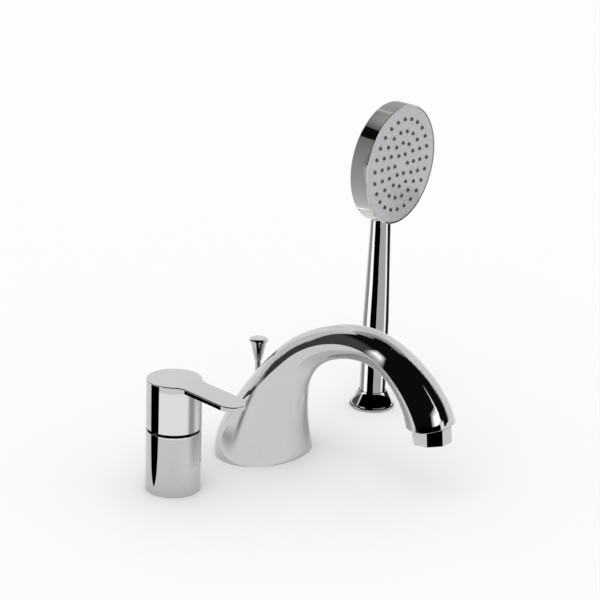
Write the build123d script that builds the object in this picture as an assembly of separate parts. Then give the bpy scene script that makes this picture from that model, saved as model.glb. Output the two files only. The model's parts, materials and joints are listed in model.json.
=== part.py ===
from build123d import *
import os
from collections import namedtuple
from math import cos, radians, sin

# Bath mixer in three units that stand in a row on a bath rim: a single-lever mixing valve, an arched
# spout with a pull-up diverter, and a hand shower in its socket.
# Millimetres, +Z up. The deck's top surface is z = 0 and the origin is the centre of the spout's foot.
# The three deck holes lie along X. The spout reaches out over the bath along -Y.

# Places of the units along the row
VALVE_X = -118.0
SPOUT_X = 0.0
SHOWER_X = 151.5

# Clearances
RUNNING_GAP = 0.08
THREAD_GAP = 0.05
SLIP_GAP = 0.1

# Threaded shanks and the hardware below the deck, alike on all three units
DECK_THICKNESS = 12.0
SHANK_RADIUS = 16.5
SHANK_BORE_RADIUS = 13.2
SHANK_BOTTOM = -50.0
SHANK_TOP = 4.0
SHANK_LEAD_RADIUS = 16.2
SHANK_LEAD_LENGTH = 23.0
SEAL_THICKNESS = 0.8
WASHER_RADIUS = 24.0
RUBBER_WASHER_THICKNESS = 3.0
METAL_WASHER_THICKNESS = 2.0
NUT_HEIGHT = 8.0
NUT_ACROSS_FLATS = 46.0

# Copper port tubes below the valve and the spout
PORT_TUBE_RADIUS = 5.0
PORT_TUBE_BORE_RADIUS = 3.8
PORT_TUBE_BOTTOM = -75.0
PORT_TUBE_END_RADIUS = 4.75
PORT_TUBE_END_LENGTH = 22.0
PORT_ORIFICE_RADIUS = 2.8

# Valve sleeve and the brass body inside it
VALVE_RADIUS = 23.0
SLEEVE_TOP = 52.5
SLEEVE_LIP_WALL = 1.2
SLEEVE_FOOT_WALL = 2.6
SLEEVE_STEP_HEIGHT = 29.0
SLEEVE_EDGE_ROUND = 0.3
VALVE_BODY_SHOULDER = 28.0
VALVE_BODY_TOP = 47.0
VALVE_NECK_RADIUS = 16.5
VALVE_PORT_CIRCLE_RADIUS = 6.7
VALVE_TUBE_SEAT = 16.0
POCKET_FLOOR = 22.0
POCKET_STEP = 40.0
POCKET_THREAD_RADIUS = 14.0

# Ceramic cartridge
CARTRIDGE_RADIUS = 12.5
CARTRIDGE_HEAD_RADIUS = 11.2
CARTRIDGE_FLANGE_RADIUS = 13.3
CARTRIDGE_FLANGE_THICKNESS = 2.5
CARTRIDGE_TOP = 76.0
CARTRIDGE_LIP_RADIUS = 7.6
PORT_SEAL_RADIUS = 4.4
PORT_SEAL_THICKNESS = 1.0
DISC_FLOOR = 37.0
DISC_THICKNESS = 3.0
DISC_RADIUS = 10.3
CARRIER_TOP = 57.0
ROTOR_BOTTOM = 60.0
ROTOR_TOP = 74.2
ROTOR_RADIUS = 9.0
STEM_PIVOT_HEIGHT = 70.0
PIVOT_PIN_RADIUS = 1.5
STEM_WIDTH = 7.0
STEM_FOOT_WIDTH = 4.2
STEM_SHOULDER = 66.0
STEM_BOTTOM = 53.0
STEM_TOP = 90.0
LOCK_RING_TOP = 51.0

# Lever handle: a round cap with a flat lever that leaves it towards the bath
HANDLE_BOTTOM = 55.0
HANDLE_TOP = 96.5
HANDLE_WALL = 1.8
HANDLE_CEILING = 89.0
HANDLE_BOSS_RADIUS = 8.0
HANDLE_BOSS_BOTTOM = 80.0
LEVER_LENGTH = 74.0
LEVER_HALF_WIDTH = 12.5
LEVER_THICKNESS = 4.0
LEVER_DROOP = 4.5
LEVER_BEND_START = 8.0
LEVER_BEND_RADIUS = 130.0
LEVER_ROOT_BLEND = 12.0
HANDLE_EDGE_ROUND = 0.9
GRUB_SCREW_RADIUS = 2.5
GRUB_SCREW_HEIGHT = 84.5
GRUB_ACCESS_RADIUS = 2.8

# Spout casting. Each station is a creased oval across the arch: its centre in the YZ plane, how far
# the arch has turned there from straight up, its half width, its reach to the back and to the front
# of the centre, and how far the sides are drawn into a crease at the back and at the front.
Station = namedtuple("Station", "y z turn half_width back front back_crease front_crease")
SPOUT_STATIONS = [
    Station(2.0, 0.0, 0, 48.5, 38.0, 37.0, 0.0, 0.0),
    Station(2.8, 12.0, 4, 46.5, 37.5, 36.0, 0.0, 0.0),
    Station(1.5, 33.0, 5, 41.0, 31.0, 34.0, 0.1, 0.0),
    Station(-5.0, 55.0, 14, 34.0, 22.5, 30.5, 0.2, 0.0),
    Station(-18.0, 76.0, 42, 27.0, 18.0, 25.0, 0.25, 0.0),
    Station(-40.5, 101.0, 63, 19.5, 15.0, 19.0, 0.25, 0.1),
    Station(-77.5, 120.5, 81, 17.5, 12.5, 16.5, 0.25, 0.1),
    Station(-119.0, 121.5, 102, 17.5, 13.5, 15.5, 0.2, 0.15),
    Station(-147.0, 108.0, 123, 20.0, 14.0, 15.5, 0.2, 0.1),
    Station(-165.5, 91.0, 146, 22.5, 14.0, 18.5, 0.15, 0.1),
    Station(-178.0, 71.0, 174, 24.5, 12.5, 23.5, 0.1, 0.1),
]
OVAL_FULLNESS = 0.56
OVAL_QUARTERS = 4
SPOUT_WALL = 3.2
OUTLET_EDGE_ROUND = 0.9
BASE_PLATE_INSET = 6.5
BASE_PLATE_TOP = 6.0
BASE_SCREW_X = 36.5
BASE_SCREW_RADIUS = 2.5
BASE_SCREW_HEAD_RADIUS = 4.5
BASE_SCREW_HEAD_HEIGHT = 2.5
BASE_SCREW_TOP = 20.0
SCREW_BOSS_RADIUS = 6.0
SCREW_BOSS_TOP = 26.0

# Aerator, screwed into the outlet
OUTLET_SHIFT = 3.4
AERATOR_FLAT_RADIUS = 15.3
AERATOR_CORNER_ROUND = 0.8
AERATOR_RIM_ROUND = 0.5
AERATOR_BORE_RADIUS = 12.8
AERATOR_THREAD_RADIUS = 12.0
AERATOR_THREAD_BORE_RADIUS = 10.6
AERATOR_THREAD_LENGTH = 8.0
AERATOR_THREAD_BORE_STEP = 1.5
AERATOR_DROP = 13.5
AERATOR_SEAL_THICKNESS = 1.5
OUTLET_WATERWAY_RADIUS = 8.5
INSERT_RECESS = 1.0
INSERT_SLOT_WIDTH = 1.2
INSERT_SLOT_PITCH = 2.4
INSERT_SLOT_REACH = 9.4

# Diverter: the knob's rod lifts a plunger against the roof of a small brass chamber in the foot
DIVERTER_Y = 12.0
DIVERTER_TRAVEL = 10.5
DIVERTER_END_GAP = 0.5
CHAMBER_RADIUS = 14.0
CHAMBER_BORE_RADIUS = 11.6
CHAMBER_FLOOR = 10.0
CHAMBER_PORT_RADIUS = 6.0
SPOUT_TUBE_X = 5.7
SPOUT_TUBE_Y = 5.4
PLUNGER_RADIUS = 8.5
PLUNGER_BOTTOM = 18.0
PLUNGER_THICKNESS = 3.0
PLUNGER_SEAL_THICKNESS = 1.0
PLUNGER_HEIGHT = PLUNGER_THICKNESS + PLUNGER_SEAL_THICKNESS
CHAMBER_ROOF = PLUNGER_BOTTOM + PLUNGER_HEIGHT + DIVERTER_TRAVEL + DIVERTER_END_GAP
CHAMBER_TOP = CHAMBER_ROOF + 3.0
ROD_RADIUS = 2.5
ROD_TOP = 90.0
ROD_HOLE_GAP = 0.35
GLAND_RADIUS = 5.0
GLAND_BOTTOM = 42.0
GLAND_TOP = 56.0
GLAND_BOSS_RADIUS = 7.5
GLAND_GROOVE_RADIUS = 3.9
GLAND_GROOVE_HEIGHT = 48.0
GLAND_GROOVE_WIDTH = 2.0
KNOB_BOTTOM = 80.0
KNOB_TOP = 100.0
KNOB_NECK_RADIUS = 3.3
KNOB_CONE_RADIUS = 7.1
KNOB_DISC_RADIUS = 8.2
KNOB_DISC_THICKNESS = 3.2
KNOB_TOP_ROUND = 2.4
KNOB_UNDER_ROUND = 0.5

# Hand shower's deck socket
FLANGE_RADIUS = 21.0
FLANGE_HEIGHT = 3.6
FLANGE_BULGE = 0.9
CONE_FOOT_RADIUS = 19.0
CONE_TOP_RADIUS = 13.8
SOCKET_HEIGHT = 16.0
SOCKET_LIP_GAP = 0.45
SOCKET_LIP_THICKNESS = 1.0
SOCKET_SEAL_RADIUS = 18.4
BUSH_BOTTOM = -12.0
BUSH_FLANGE_RADIUS = 15.0
BUSH_FLANGE_TOP = 6.0

# Hand shower
SHOWER_YAW = 3.3
HANDLE_TUBE_RADIUS = 12.1
HANDLE_TUBE_NECK_RADIUS = 9.3
HANDLE_TAPER_START = 85.0
HANDLE_TUBE_TOP = 179.0
HANDLE_SEAT_TOP = 12.0
HANDLE_SEAT_BOTTOM = -12.0
HANDLE_SEAT_END_RADIUS = 10.6
HANDLE_TUBE_BORE_RADIUS = 7.2
HANDLE_SOCKET_RADIUS = 8.0
HANDLE_SOCKET_DEPTH = 12.0
SEAT_GAP = 0.3
HOSE_THREAD_RADIUS = 10.4
HOSE_THREAD_BOTTOM = -24.0
HOSE_THREAD_BORE_RADIUS = 5.5
FILTER_WASHER_RADIUS = 8.4
FILTER_WASHER_THICKNESS = 2.0

# Shower head, a flat drum ahead of the handle, with a shallow domed back
HEAD_RADIUS = 54.4
HEAD_THICKNESS = 18.0
HEAD_CENTRE_HEIGHT = 234.9
HEAD_FORWARD = 10.1
HEAD_PITCH = 2.5
HEAD_DOME = 6.0
HEAD_WALL = 2.4
HEAD_EDGE_ROUND = 1.6
HEAD_RIM_ROUND = 0.6
HEAD_NECK_TOP = 216.0
HEAD_NECK_TOP_RADIUS = 7.0
HEAD_NECK_BORE_RADIUS = 5.6
FACE_RADIUS = 53.0
FACE_RIM_GAP = 0.35
FACE_RECESS = 0.5
FACE_THICKNESS = 3.0
MAT_RADIUS = 45.5
MAT_THICKNESS = 1.2
NOZZLE_RINGS = [(6, 10.1), (12, 20.0), (18, 30.3), (24, 41.5)]
NOZZLE_RADIUS = 1.75
NOZZLE_TIP_RADIUS = 1.4
NOZZLE_PROUD = 1.2
NOZZLE_BORE_RADIUS = 0.6
NOZZLE_HOLE_GAP = 0.1
CHAMBER_SEAL_RADIUS = 49.5
CHAMBER_CUP_RADIUS = 50.4
CHAMBER_CUP_DEPTH = 7.0
CHAMBER_CUP_WALL = 2.2
CHAMBER_INLET_RADIUS = 6.0
CHAMBER_INLET_DROP = 30.0

FOOT = (Align.CENTER, Align.CENTER, Align.MIN)


def save(name, shape):
    """Write one sub-part under its node name."""
    export_step(shape, f"parts/{name}.step")


def disc(radius, bottom, top, x=0.0, y=0.0):
    """Upright cylinder between two heights."""
    return Pos(x, y, bottom) * Cylinder(radius, top - bottom, align=FOOT)


def ring(outer, inner, bottom, top, x=0.0, y=0.0):
    """Upright tube between two heights."""
    return disc(outer, bottom, top, x, y) - disc(inner, bottom, top, x, y)


def bar(width, depth, bottom, top, y=0.0):
    """Upright rectangular bar, centred on X."""
    return Pos(0, y, bottom) * Box(width, depth, top - bottom, align=FOOT)


def turned(points):
    """Solid turned about Z from an outline of (radius, height) points."""
    outline = Polyline(*[(radius, 0, height) for radius, height in points], close=True)
    return revolve(make_face(outline), Axis.Z)


def around(count, radius, first_angle=0.0):
    """Places spread evenly on a circle."""
    step = 360.0 / count
    angles = [radians(first_angle + step * index) for index in range(count)]
    return [(radius * cos(angle), radius * sin(angle)) for angle in angles]


def shank(x):
    """Threaded tube that passes down through the deck, slightly slimmer at its free end."""
    lead_top = SHANK_BOTTOM + SHANK_LEAD_LENGTH
    tube = disc(SHANK_LEAD_RADIUS, SHANK_BOTTOM, lead_top, x) + disc(SHANK_RADIUS, lead_top, SHANK_TOP, x)
    return tube - disc(SHANK_BORE_RADIUS, SHANK_BOTTOM, SHANK_TOP, x)


def port_tube(x, y, top):
    """Plain copper tube that a supply hose or pipe is fitted to."""
    end_top = PORT_TUBE_BOTTOM + PORT_TUBE_END_LENGTH
    tube = disc(PORT_TUBE_END_RADIUS, PORT_TUBE_BOTTOM, end_top, x, y)
    tube += disc(PORT_TUBE_RADIUS - THREAD_GAP, end_top, top, x, y)
    return tube - disc(PORT_TUBE_BORE_RADIUS, PORT_TUBE_BOTTOM, top, x, y)


def deck_fixings(unit, x):
    """Shank, rubber washer, metal washer and nut that clamp one unit to the deck."""
    hole = SHANK_RADIUS + SLIP_GAP
    rubber_top = -DECK_THICKNESS
    metal_top = rubber_top - RUBBER_WASHER_THICKNESS
    nut_top = metal_top - METAL_WASHER_THICKNESS
    nut_blank = extrude(RegularPolygon(NUT_ACROSS_FLATS / 2, 6, major_radius=False), NUT_HEIGHT)
    nut_hole = disc(SHANK_RADIUS + THREAD_GAP, -1, NUT_HEIGHT + 1)
    save(f"{unit}_shank", shank(x))
    save(f"{unit}_rubber_washer", ring(WASHER_RADIUS, hole, metal_top, rubber_top, x))
    save(f"{unit}_metal_washer", ring(WASHER_RADIUS, hole, nut_top, metal_top, x))
    save(f"{unit}_mounting_nut", Pos(x, 0, nut_top - NUT_HEIGHT) * (nut_blank - nut_hole))


def valve_sleeve():
    """Round chrome sleeve, thin at its lip so that the tilting handle can dip inside it."""
    foot_bore = VALVE_RADIUS - SLEEVE_FOOT_WALL
    lip_bore = VALVE_RADIUS - SLEEVE_LIP_WALL
    sleeve = disc(VALVE_RADIUS, 0, SLEEVE_TOP)
    sleeve = fillet(sleeve.edges().sort_by(Axis.Z)[-1], SLEEVE_EDGE_ROUND)
    sleeve -= disc(foot_bore, 0, SLEEVE_STEP_HEIGHT)
    sleeve -= disc(lip_bore, SLEEVE_STEP_HEIGHT, SLEEVE_TOP)
    return sleeve


def valve_body():
    """Brass body with the cartridge pocket above and three ports below."""
    body = disc(VALVE_RADIUS - SLEEVE_FOOT_WALL - SLIP_GAP, SEAL_THICKNESS, VALVE_BODY_SHOULDER)
    body += disc(VALVE_NECK_RADIUS, VALVE_BODY_SHOULDER, VALVE_BODY_TOP)
    body -= disc(SHANK_RADIUS + THREAD_GAP, SEAL_THICKNESS, SHANK_TOP)
    body -= disc(CARTRIDGE_RADIUS + SLIP_GAP, POCKET_FLOOR, VALVE_BODY_TOP)
    body -= disc(POCKET_THREAD_RADIUS, POCKET_STEP, VALVE_BODY_TOP)
    for x, y in around(3, VALVE_PORT_CIRCLE_RADIUS, 90):
        body -= disc(PORT_TUBE_RADIUS, SHANK_TOP, VALVE_TUBE_SEAT, x, y)
        body -= disc(PORT_ORIFICE_RADIUS, VALVE_TUBE_SEAT, POCKET_FLOOR, x, y)
    return body


def cartridge_body():
    """Plastic housing: solid foot with three ports, disc chamber, rotor bore and a lip on top."""
    bottom = POCKET_FLOOR + PORT_SEAL_THICKNESS
    flange_top = POCKET_STEP + CARTRIDGE_FLANGE_THICKNESS
    body = disc(CARTRIDGE_RADIUS, bottom, POCKET_STEP)
    body += disc(CARTRIDGE_FLANGE_RADIUS, POCKET_STEP, flange_top)
    body += disc(CARTRIDGE_HEAD_RADIUS, flange_top, CARTRIDGE_TOP)
    body -= disc(DISC_RADIUS + SLIP_GAP, DISC_FLOOR, CARRIER_TOP + 1)
    body -= disc(CARTRIDGE_LIP_RADIUS, CARRIER_TOP, CARTRIDGE_TOP)
    body -= disc(ROTOR_RADIUS, ROTOR_BOTTOM, ROTOR_TOP)
    for x, y in around(3, VALVE_PORT_CIRCLE_RADIUS, 90):
        body -= disc(PORT_ORIFICE_RADIUS, bottom, DISC_FLOOR, x, y)
    return body


def port_seals():
    """One rubber ring round each port, between the pocket's floor and the cartridge."""
    top = POCKET_FLOOR + PORT_SEAL_THICKNESS
    places = around(3, VALVE_PORT_CIRCLE_RADIUS, 90)
    rings = [ring(PORT_SEAL_RADIUS, PORT_ORIFICE_RADIUS, POCKET_FLOOR, top, x, y) for x, y in places]
    return Compound(rings)


def fixed_disc():
    """Lower ceramic disc, with the three ports."""
    plate = disc(DISC_RADIUS, DISC_FLOOR, DISC_FLOOR + DISC_THICKNESS)
    for x, y in around(3, VALVE_PORT_CIRCLE_RADIUS, 90):
        plate -= disc(PORT_ORIFICE_RADIUS, DISC_FLOOR, DISC_FLOOR + DISC_THICKNESS, x, y)
    return plate


def turning_disc():
    """Upper ceramic disc, with the hollow that joins the ports."""
    bottom = DISC_FLOOR + DISC_THICKNESS + THREAD_GAP
    top = bottom + DISC_THICKNESS
    hollow = extrude(SlotOverall(2 * CARTRIDGE_LIP_RADIUS, STEM_WIDTH), DISC_THICKNESS / 2)
    return disc(DISC_RADIUS, bottom, top) - Pos(0, 0, bottom) * hollow


def disc_carrier():
    """Plastic block on the turning disc, slotted for the foot of the stem."""
    bottom = DISC_FLOOR + 2 * DISC_THICKNESS + THREAD_GAP
    slot_front = -8.0
    slot_back = 3.2
    slot_width = STEM_FOOT_WIDTH + 2 * SLIP_GAP
    slot_floor = STEM_BOTTOM - 1
    slot_centre = (slot_front + slot_back) / 2
    slot = bar(slot_width, slot_back - slot_front, slot_floor, CARRIER_TOP, slot_centre)
    return disc(DISC_RADIUS, bottom, CARRIER_TOP - SLIP_GAP) - slot


def cartridge_rotor():
    """Plastic turret that turns in the cartridge and carries the stem's pivot pin."""
    slot_front = -6.0
    slot_back = 5.5
    slot_width = STEM_WIDTH + 2 * SLIP_GAP
    rotor = disc(ROTOR_RADIUS - SLIP_GAP, ROTOR_BOTTOM + SLIP_GAP, ROTOR_TOP - SLIP_GAP)
    rotor -= bar(slot_width, slot_back - slot_front, ROTOR_BOTTOM, ROTOR_TOP, (slot_front + slot_back) / 2)
    rotor -= crosswise_pin(PIVOT_PIN_RADIUS + 0.02, 2 * ROTOR_RADIUS)
    return rotor


def crosswise_pin(radius, length):
    """Cylinder along X through the stem's pivot."""
    return Pos(0, 0, STEM_PIVOT_HEIGHT) * Rot(0, 90, 0) * Cylinder(radius, length)


def pivot_pin():
    """Steel pin that the stem tilts on."""
    half_chord = (ROTOR_RADIUS ** 2 - PIVOT_PIN_RADIUS ** 2) ** 0.5
    return crosswise_pin(PIVOT_PIN_RADIUS, 2 * (half_chord - 2 * SLIP_GAP))


def cartridge_stem():
    """Square stem, slimmer below the pivot."""
    stem = bar(STEM_WIDTH, STEM_WIDTH, STEM_SHOULDER, STEM_TOP)
    stem += bar(STEM_FOOT_WIDTH, STEM_FOOT_WIDTH, STEM_BOTTOM, STEM_SHOULDER)
    return stem - crosswise_pin(PIVOT_PIN_RADIUS + RUNNING_GAP, 2 * STEM_WIDTH)


def cartridge_nut():
    """Threaded ring with a hexagonal top that holds the cartridge down."""
    bottom = POCKET_STEP + CARTRIDGE_FLANGE_THICKNESS
    nut = disc(POCKET_THREAD_RADIUS - THREAD_GAP, bottom, VALVE_BODY_TOP)
    hexagon = extrude(RegularPolygon(POCKET_THREAD_RADIUS, 6), LOCK_RING_TOP - VALVE_BODY_TOP)
    nut += Pos(0, 0, VALVE_BODY_TOP) * hexagon
    return nut - disc(CARTRIDGE_HEAD_RADIUS + SLIP_GAP, bottom, LOCK_RING_TOP)


def lever_outline():
    """Plan of the handle: the round cap and the lever, blended into each other."""
    straight = LEVER_LENGTH - LEVER_HALF_WIDTH
    outline = Circle(VALVE_RADIUS)
    outline += Pos(0, -straight / 2) * Rectangle(2 * LEVER_HALF_WIDTH, straight)
    outline += Pos(0, -straight) * Circle(LEVER_HALF_WIDTH)
    root_corners = outline.vertices().filter_by(lambda corner: -VALVE_RADIUS < corner.Y < -LEVER_HALF_WIDTH)
    return fillet(root_corners, LEVER_ROOT_BLEND)


def lever_slab(thickness):
    """Slab under the handle's top surface, which is level over the cap and droops along the lever."""
    droop = radians(LEVER_DROOP)
    bend_end = LEVER_BEND_START + LEVER_BEND_RADIUS * sin(droop)
    bend_drop = LEVER_BEND_RADIUS * (1 - cos(droop))
    reach = LEVER_LENGTH + 1
    tip_drop = bend_drop + (reach - bend_end) * sin(droop) / cos(droop)
    back_top = Vector(0, VALVE_RADIUS + 1, HANDLE_TOP)
    bend_top = Vector(0, -LEVER_BEND_START, HANDLE_TOP)
    bend_low = Vector(0, -bend_end, HANDLE_TOP - bend_drop)
    tip_top = Vector(0, -reach, HANDLE_TOP - tip_drop)
    down = Vector(0, 0, -thickness)
    edges = [
        Line(back_top, bend_top),
        TangentArc(bend_top, bend_low, tangent=(0, -1, 0)),
        Line(bend_low, tip_top),
        Line(tip_top, tip_top + down),
        Line(tip_top + down, bend_low + down),
        TangentArc(bend_top + down, bend_low + down, tangent=(0, -1, 0)),
        Line(bend_top + down, back_top + down),
        Line(back_top + down, back_top),
    ]
    half_width = VALVE_RADIUS + 1
    return Pos(-half_width, 0, 0) * extrude(make_face(edges), 2 * half_width, dir=(1, 0, 0))


def lever_handle():
    """One-piece cap and lever, hollow below, with a square socket for the stem."""
    block = lever_slab(HANDLE_TOP) & Pos(0, 0, HANDLE_BOTTOM) * extrude(lever_outline(), HANDLE_TOP)
    rim = block.edges().filter_by(lambda edge: edge.bounding_box().min.Z > HANDLE_CEILING)
    block = fillet(rim.filter_by(Axis.X, reverse=True), HANDLE_EDGE_ROUND)
    handle = block & (lever_slab(LEVER_THICKNESS) + disc(VALVE_RADIUS, HANDLE_BOTTOM, HANDLE_TOP))
    handle -= disc(VALVE_RADIUS - HANDLE_WALL, HANDLE_BOTTOM, HANDLE_CEILING)
    handle += disc(HANDLE_BOSS_RADIUS, HANDLE_BOSS_BOTTOM, HANDLE_CEILING)
    socket_width = STEM_WIDTH + 2 * THREAD_GAP
    handle -= bar(socket_width, socket_width, HANDLE_BOSS_BOTTOM, STEM_TOP + SLIP_GAP)
    handle -= radial_hole(GRUB_SCREW_RADIUS + THREAD_GAP, HANDLE_BOSS_RADIUS + 1)
    handle -= Pos(0, HANDLE_BOSS_RADIUS + 1, 0) * radial_hole(GRUB_ACCESS_RADIUS, VALVE_RADIUS)
    return handle


def radial_hole(radius, length):
    """Cylinder from the stem's axis towards the back of the handle."""
    return Pos(0, 0, GRUB_SCREW_HEIGHT) * Rot(-90, 0, 0) * Cylinder(radius, length, align=FOOT)


def grub_screw():
    """Socket set screw in the handle's boss, tight against the stem."""
    length = HANDLE_BOSS_RADIUS - STEM_WIDTH / 2
    hex_socket = extrude(RegularPolygon(1.4, 6), 2.5)
    screw = Cylinder(GRUB_SCREW_RADIUS, length, align=FOOT) - Pos(0, 0, length - 2.5) * hex_socket
    return Pos(0, STEM_WIDTH / 2, GRUB_SCREW_HEIGHT) * Rot(-90, 0, 0) * screw


def build_valve():
    """Left unit."""
    place = Pos(VALVE_X, 0, 0)
    seal = ring(VALVE_RADIUS - SLEEVE_FOOT_WALL - SLIP_GAP, SHANK_RADIUS + SLIP_GAP, 0, SEAL_THICKNESS)
    save("valve_base_seal", place * seal)
    save("valve_sleeve", place * valve_sleeve())
    save("valve_body", place * valve_body())
    save("cartridge_body", place * cartridge_body())
    save("cartridge_port_seals", place * port_seals())
    save("cartridge_fixed_disc", place * fixed_disc())
    save("cartridge_turning_disc", place * turning_disc())
    save("cartridge_disc_carrier", place * disc_carrier())
    save("cartridge_rotor", place * cartridge_rotor())
    save("stem_pivot_pin", place * pivot_pin())
    save("cartridge_stem", place * cartridge_stem())
    save("cartridge_nut", place * cartridge_nut())
    save("lever_handle", place * lever_handle())
    save("handle_grub_screw", place * grub_screw())
    tube_names = ("mixed_outlet_tube", "hot_inlet_tube", "cold_inlet_tube")
    for name, (x, y) in zip(tube_names, around(3, VALVE_PORT_CIRCLE_RADIUS, 90)):
        save(name, place * port_tube(x, y, VALVE_TUBE_SEAT))
    deck_fixings("valve", VALVE_X)


def oval_wire(station, inset=0.0):
    """Creased oval of one station, drawn in by the inset."""
    half_width = station.half_width - inset
    back = station.back - inset
    front = station.front - inset
    turn = radians(station.turn)

    def point(across, outwards):
        return Vector(across, station.y + outwards * cos(turn), station.z + outwards * sin(turn))

    def quarter(width, reach, crease):
        side = point(width, 0)
        side_handle = point(width * (1 - crease), OVAL_FULLNESS * reach)
        end_handle = point(width * OVAL_FULLNESS, reach)
        end = point(0, reach)
        return side, side_handle, end_handle, end

    back_right = quarter(half_width, back, station.back_crease)
    back_left = quarter(-half_width, back, station.back_crease)
    front_left = quarter(-half_width, -front, station.front_crease)
    front_right = quarter(half_width, -front, station.front_crease)
    return Wire([
        Bezier(*back_right),
        Bezier(*reversed(back_left)),
        Bezier(*front_left),
        Bezier(*reversed(front_right)),
    ])


def spout_solid(stations, inset=0.0):
    """Smooth solid through the stations."""
    return loft([Face(oval_wire(station, inset)) for station in stations])


def outlet_place():
    """Place of the outlet's centre: local +Z points down out of the spout."""
    end = SPOUT_STATIONS[-1]
    turn = radians(end.turn)
    centre = (0, end.y - OUTLET_SHIFT * cos(turn), end.z - OUTLET_SHIFT * sin(turn))
    return Plane(origin=centre, x_dir=(1, 0, 0), z_dir=(0, -sin(turn), cos(turn))).location


def spout_body():
    """Hollow casting, open below, with bosses for the base screws and the diverter's gland."""
    outside = spout_solid(SPOUT_STATIONS)
    outlet_edge = outside.edges().sort_by(Axis.Y)[:OVAL_QUARTERS]
    outside = fillet(outlet_edge, OUTLET_EDGE_ROUND)
    cavity = spout_solid(SPOUT_STATIONS[:-1], SPOUT_WALL)
    bosses = disc(GLAND_BOSS_RADIUS, GLAND_BOTTOM + 1, KNOB_TOP, 0, DIVERTER_Y)
    for x in (-BASE_SCREW_X, BASE_SCREW_X):
        bosses += disc(SCREW_BOSS_RADIUS, BASE_PLATE_TOP, SCREW_BOSS_TOP, x)
    body = (outside - cavity) + (bosses & outside)
    body -= disc(GLAND_RADIUS + THREAD_GAP, GLAND_BOTTOM, GLAND_TOP, 0, DIVERTER_Y)
    body -= disc(ROD_RADIUS + ROD_HOLE_GAP, GLAND_TOP, KNOB_TOP, 0, DIVERTER_Y)
    for x in (-BASE_SCREW_X, BASE_SCREW_X):
        body -= disc(BASE_SCREW_RADIUS + THREAD_GAP, BASE_PLATE_TOP, BASE_SCREW_TOP + 1, x)
    thread = Cylinder(AERATOR_THREAD_RADIUS + THREAD_GAP, 2 * AERATOR_THREAD_LENGTH)
    return body - outlet_place() * thread - outlet_waterway()


def outlet_waterway():
    """Slanted bore that joins the cavity's end to the outlet."""
    cavity_end = SPOUT_STATIONS[-2]
    start = outlet_place().position
    slant = Vector(0, cavity_end.y, cavity_end.z) - start
    place = Plane(origin=start, x_dir=(1, 0, 0), z_dir=slant).location
    return place * Cylinder(OUTLET_WATERWAY_RADIUS, slant.length + SPOUT_WALL, align=FOOT)


def aerator_housing():
    """Eight-sided chrome collar with the outside thread that screws into the outlet."""
    flats = RegularPolygon(AERATOR_FLAT_RADIUS, 8, major_radius=False, rotation=22.5)
    collar = extrude(flats, AERATOR_DROP)
    collar = fillet(collar.edges().filter_by(Axis.Z), AERATOR_CORNER_ROUND)
    collar = fillet(collar.edges().group_by(Axis.Z)[-1], AERATOR_RIM_ROUND)
    thread_length = AERATOR_THREAD_LENGTH - AERATOR_SEAL_THICKNESS
    thread = Pos(0, 0, -thread_length) * Cylinder(AERATOR_THREAD_RADIUS, thread_length, align=FOOT)
    mouth = Pos(0, 0, AERATOR_THREAD_BORE_STEP) * Cylinder(AERATOR_BORE_RADIUS, AERATOR_DROP, align=FOOT)
    bore = Cylinder(AERATOR_THREAD_BORE_RADIUS, 2 * (AERATOR_DROP + AERATOR_THREAD_LENGTH))
    return outlet_place() * (collar + thread - mouth - bore)


def aerator_insert():
    """Plastic jet former with straight slots across it."""
    top = -AERATOR_THREAD_LENGTH + AERATOR_SEAL_THICKNESS
    height = AERATOR_DROP - INSERT_RECESS - top
    head_height = AERATOR_DROP - INSERT_RECESS - AERATOR_THREAD_BORE_STEP
    head = Cylinder(AERATOR_BORE_RADIUS - THREAD_GAP, head_height, align=FOOT)
    insert = Pos(0, 0, top) * Cylinder(AERATOR_THREAD_BORE_RADIUS - THREAD_GAP, height, align=FOOT)
    insert += Pos(0, 0, AERATOR_THREAD_BORE_STEP) * head
    count = int(2 * INSERT_SLOT_REACH / INSERT_SLOT_PITCH)
    for index in range(count):
        across = (index - (count - 1) / 2) * INSERT_SLOT_PITCH
        half_length = (INSERT_SLOT_REACH ** 2 - across ** 2) ** 0.5
        slot = Box(INSERT_SLOT_WIDTH, 2 * half_length, height, align=FOOT)
        insert -= Pos(across, 0, top) * slot
    return outlet_place() * insert


def aerator_seal():
    """Flat rubber ring above the aerator."""
    seal = Cylinder(AERATOR_THREAD_RADIUS, AERATOR_SEAL_THICKNESS, align=FOOT)
    seal -= Cylinder(OUTLET_WATERWAY_RADIUS, AERATOR_SEAL_THICKNESS, align=FOOT)
    return outlet_place() * Pos(0, 0, -AERATOR_THREAD_LENGTH) * seal


def foot_plate(bottom, top, shank_hole):
    """Flat oval that fits inside the spout's foot."""
    plate = Pos(0, 0, bottom) * extrude(Face(oval_wire(SPOUT_STATIONS[0], BASE_PLATE_INSET)), top - bottom)
    return plate - disc(shank_hole, bottom, min(top, SHANK_TOP))


def spout_base_plate():
    """Brass plate in the foot: the shank screws into it from below."""
    plate = foot_plate(SEAL_THICKNESS, BASE_PLATE_TOP, SHANK_RADIUS + THREAD_GAP)
    for x in (-SPOUT_TUBE_X, SPOUT_TUBE_X):
        plate -= disc(PORT_TUBE_RADIUS, SEAL_THICKNESS, BASE_PLATE_TOP, x, SPOUT_TUBE_Y)
    for x in (-BASE_SCREW_X, BASE_SCREW_X):
        plate -= disc(BASE_SCREW_RADIUS + SLIP_GAP, SEAL_THICKNESS, BASE_PLATE_TOP, x)
        head_room = SEAL_THICKNESS + BASE_SCREW_HEAD_HEIGHT
        plate -= disc(BASE_SCREW_HEAD_RADIUS + SLIP_GAP, SEAL_THICKNESS, head_room, x)
    return plate


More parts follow.
